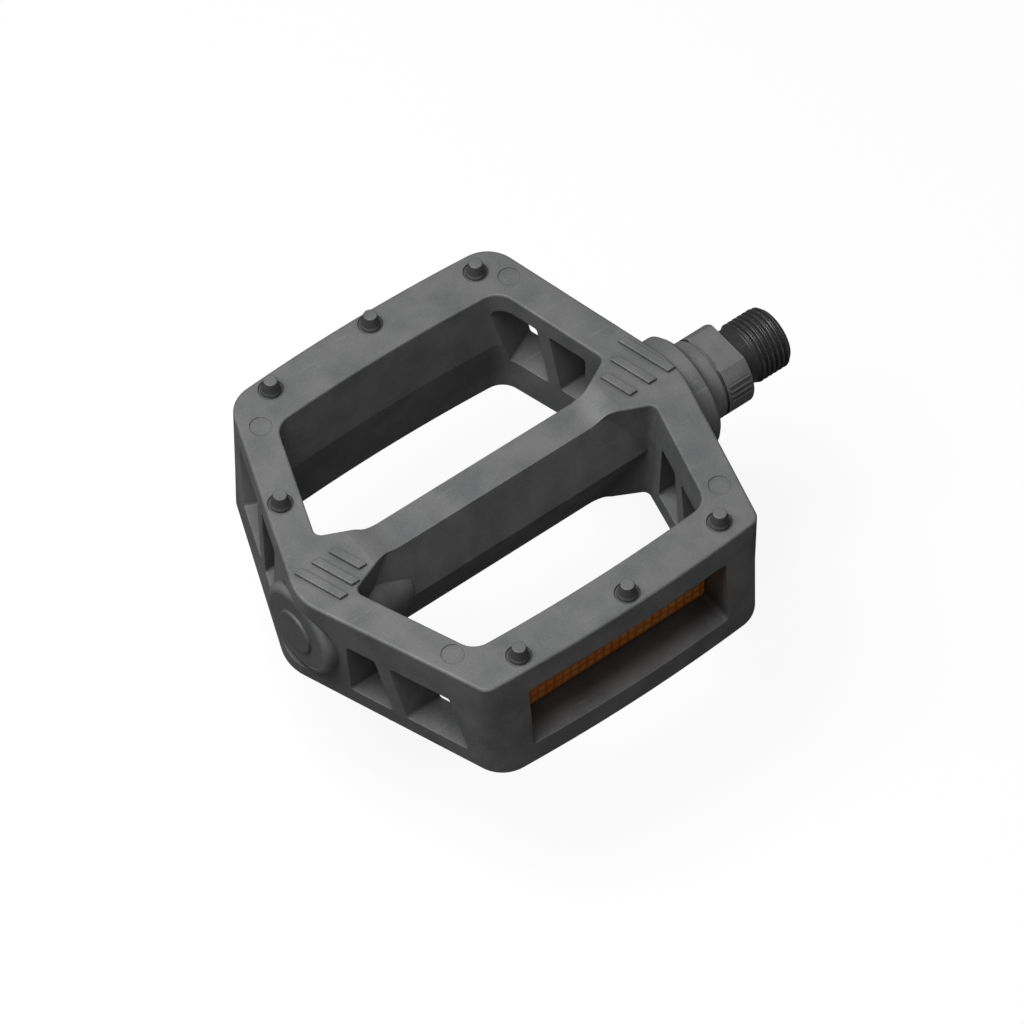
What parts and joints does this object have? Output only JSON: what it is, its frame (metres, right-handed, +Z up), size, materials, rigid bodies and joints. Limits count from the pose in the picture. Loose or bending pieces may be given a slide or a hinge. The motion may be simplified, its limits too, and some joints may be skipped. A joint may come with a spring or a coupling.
{
  "type": "flat pedal",
  "caption": "Reversible flat bicycle pedal: plastic platform with moulded pins and edge reflectors, turning on a threaded steel spindle.",
  "frame": {"origin": "on the spindle axis, at the shoulder that seats against the crank", "axes": "+Y along the spindle towards the crank, +X towards the edge that carries the front reflector, +Z up out of the upper tread face"},
  "size_m": [0.0952, 0.1247, 0.036],
  "materials": {
    "platform_plastic": "fine-grained glass-filled moulding, satin",
    "cap_plastic": "smooth satin moulding",
    "seal_rubber": "matt black moulded rubber",
    "spindle_steel": "dark phosphated forging, lightly oiled",
    "bearing_steel": "hardened, ground races",
    "ball_steel": "polished",
    "plated_steel": "zinc plated",
    "backing_plastic": "white, smooth",
    "amber_lens": "clear amber moulding with a prism back"
  },
  "bodies": {
    "axle": {"spindle": "spindle_steel", "adjusting_cone": "bearing_steel", "lock_washer": "plated_steel", "lock_nut": "plated_steel"},
    "platform": {"platform_body": "platform_plastic", "inner_bearing_cup": "bearing_steel", "outer_bearing_cup": "bearing_steel", "end_cap": "cap_plastic", "dust_seal": "seal_rubber", "front_reflector_backing": "backing_plastic", "front_reflector_lens": "amber_lens", "rear_reflector_backing": "backing_plastic", "rear_reflector_lens": "amber_lens"},
    "inner_ball_ring": {"inner_bearing_balls": "ball_steel"},
    "outer_ball_ring": {"outer_bearing_balls": "ball_steel"}
  },
  "joints": [
    {"name": "platform_spin", "type": "hinge", "parent": "axle", "child": "platform", "pos_m": [0, 0, 0], "axis": [0, 1, 0], "continuous": true},
    {"name": "inner_ball_orbit", "type": "hinge", "parent": "axle", "child": "inner_ball_ring", "pos_m": [0, -0.019, 0], "axis": [0, 1, 0], "continuous": true},
    {"name": "outer_ball_orbit", "type": "hinge", "parent": "axle", "child": "outer_ball_ring", "pos_m": [0, -0.1, 0], "axis": [0, 1, 0], "continuous": true}
  ],
  "couplings": [
    {"joint": "inner_ball_orbit", "follows": "platform_spin", "ratio": 0.592},
    {"joint": "outer_ball_orbit", "follows": "platform_spin", "ratio": 0.591}
  ]
}
